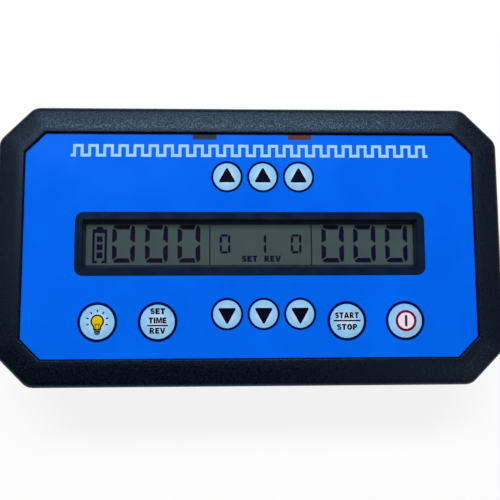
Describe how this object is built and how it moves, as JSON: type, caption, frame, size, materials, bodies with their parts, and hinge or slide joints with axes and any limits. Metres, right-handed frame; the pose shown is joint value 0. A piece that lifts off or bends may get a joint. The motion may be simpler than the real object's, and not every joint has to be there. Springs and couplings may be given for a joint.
{
  "type": "revolution and time counter",
  "caption": "Flat hand-held counter in a cut-corner case with a sloping bezel, a wide digital display, round membrane keys, sensor sockets and a sliding battery door.",
  "frame": {"origin": "under the middle of the case, on the surface that the feet stand on", "axes": "+X to the reader's right along the case, +Y up the face towards the sockets, +Z out of the face"},
  "size_m": [0.1692, 0.094, 0.0372],
  "materials": {
    "case_plastic": "finely textured black moulding",
    "overlay_film": "satin printed film",
    "window_frame_plastic": "smooth black moulding",
    "clear_window": "clear acrylic sheet",
    "polarising_film": "grey-green reflective display field",
    "display_glass": "dark display glass",
    "holder_plastic": "black moulding",
    "diffuser_plastic": "white diffuser",
    "contact_rubber": "layered conductive rubber",
    "circuit_laminate": "green lacquered laminate",
    "switch_plastic": "black moulding",
    "plunger_plastic": "black moulding",
    "key_film": "pale blue satin key",
    "chip_resin": "black moulding resin",
    "crystal_can": "drawn can",
    "capacitor_can": "blue sleeved can",
    "zinc_steel": "bright zinc plate",
    "foot_rubber": "soft black rubber",
    "nickel_strip": "nickel-plated spring strip",
    "red_wire": "red wire sheath",
    "black_wire": "black wire sheath",
    "cell_sleeve": "foil sleeve over a metal can",
    "black_socket": "smooth black moulding",
    "red_socket": "smooth red moulding",
    "socket_brass": "turned"
  },
  "bodies": {
    "case": {"front_shell": "case_plastic", "rear_shell": "case_plastic", "graphic_overlay": "overlay_film", "window_frame": "window_frame_plastic", "window_lens": "clear_window", "lcd_film": "polarising_film", "lcd_glass": "display_glass", "lcd_holder": "holder_plastic", "lcd_backlight": "diffuser_plastic", "zebra_strips": "contact_rubber", "main_board": "circuit_laminate", "switch_bodies": "switch_plastic", "microcontroller": "chip_resin", "quartz_crystal": "crystal_can", "piezo_buzzer": "holder_plastic", "board_capacitors": "capacitor_can", "board_screws": "zinc_steel", "case_screws": "zinc_steel", "rubber_feet": "foot_rubber", "battery_contacts": "nickel_strip", "battery_leads": "red_wire", "socket_nuts": "zinc_steel", "battery_cell_1": "cell_sleeve", "battery_cell_2": "cell_sleeve", "battery_cell_3": "cell_sleeve", "socket_body_black": "black_socket", "socket_contact_black": "socket_brass", "sensor_lead_black": "black_wire", "socket_body_red": "red_socket", "socket_contact_red": "socket_brass", "sensor_lead_red": "red_wire"},
    "battery_door": {"battery_door": "case_plastic"},
    "key_up_left": {"key_up_left": "key_film", "plunger_up_left": "plunger_plastic"},
    "key_up_middle": {"key_up_middle": "key_film", "plunger_up_middle": "plunger_plastic"},
    "key_up_right": {"key_up_right": "key_film", "plunger_up_right": "plunger_plastic"},
    "key_down_left": {"key_down_left": "key_film", "plunger_down_left": "plunger_plastic"},
    "key_down_middle": {"key_down_middle": "key_film", "plunger_down_middle": "plunger_plastic"},
    "key_down_right": {"key_down_right": "key_film", "plunger_down_right": "plunger_plastic"},
    "key_light": {"key_light": "key_film", "plunger_light": "plunger_plastic"},
    "key_set": {"key_set": "key_film", "plunger_set": "plunger_plastic"},
    "key_start_stop": {"key_start_stop": "key_film", "plunger_start_stop": "plunger_plastic"},
    "key_power": {"key_power": "key_film", "plunger_power": "plunger_plastic"}
  },
  "joints": [
    {"name": "press_up_left", "type": "slide", "parent": "case", "child": "key_up_left", "axis": [0, 0, -1], "range_m": [0, 0.0003], "stiffness_N_per_m": 1500, "springref_m": -0.0002},
    {"name": "press_up_middle", "type": "slide", "parent": "case", "child": "key_up_middle", "axis": [0, 0, -1], "range_m": [0, 0.0003], "stiffness_N_per_m": 1500, "springref_m": -0.0002},
    {"name": "press_up_right", "type": "slide", "parent": "case", "child": "key_up_right", "axis": [0, 0, -1], "range_m": [0, 0.0003], "stiffness_N_per_m": 1500, "springref_m": -0.0002},
    {"name": "press_down_left", "type": "slide", "parent": "case", "child": "key_down_left", "axis": [0, 0, -1], "range_m": [0, 0.0003], "stiffness_N_per_m": 1500, "springref_m": -0.0002},
    {"name": "press_down_middle", "type": "slide", "parent": "case", "child": "key_down_middle", "axis": [0, 0, -1], "range_m": [0, 0.0003], "stiffness_N_per_m": 1500, "springref_m": -0.0002},
    {"name": "press_down_right", "type": "slide", "parent": "case", "child": "key_down_right", "axis": [0, 0, -1], "range_m": [0, 0.0003], "stiffness_N_per_m": 1500, "springref_m": -0.0002},
    {"name": "press_light", "type": "slide", "parent": "case", "child": "key_light", "axis": [0, 0, -1], "range_m": [0, 0.0003], "stiffness_N_per_m": 1500, "springref_m": -0.0002},
    {"name": "press_set", "type": "slide", "parent": "case", "child": "key_set", "axis": [0, 0, -1], "range_m": [0, 0.0003], "stiffness_N_per_m": 1500, "springref_m": -0.0002},
    {"name": "press_start_stop", "type": "slide", "parent": "case", "child": "key_start_stop", "axis": [0, 0, -1], "range_m": [0, 0.0003], "stiffness_N_per_m": 1500, "springref_m": -0.0002},
    {"name": "press_power", "type": "slide", "parent": "case", "child": "key_power", "axis": [0, 0, -1], "range_m": [0, 0.0003], "stiffness_N_per_m": 1500, "springref_m": -0.0002},
    {"name": "battery_door_slide", "type": "slide", "parent": "case", "child": "battery_door", "axis": [0, -1, 0], "range_m": [0, 0.048]}
  ]
}
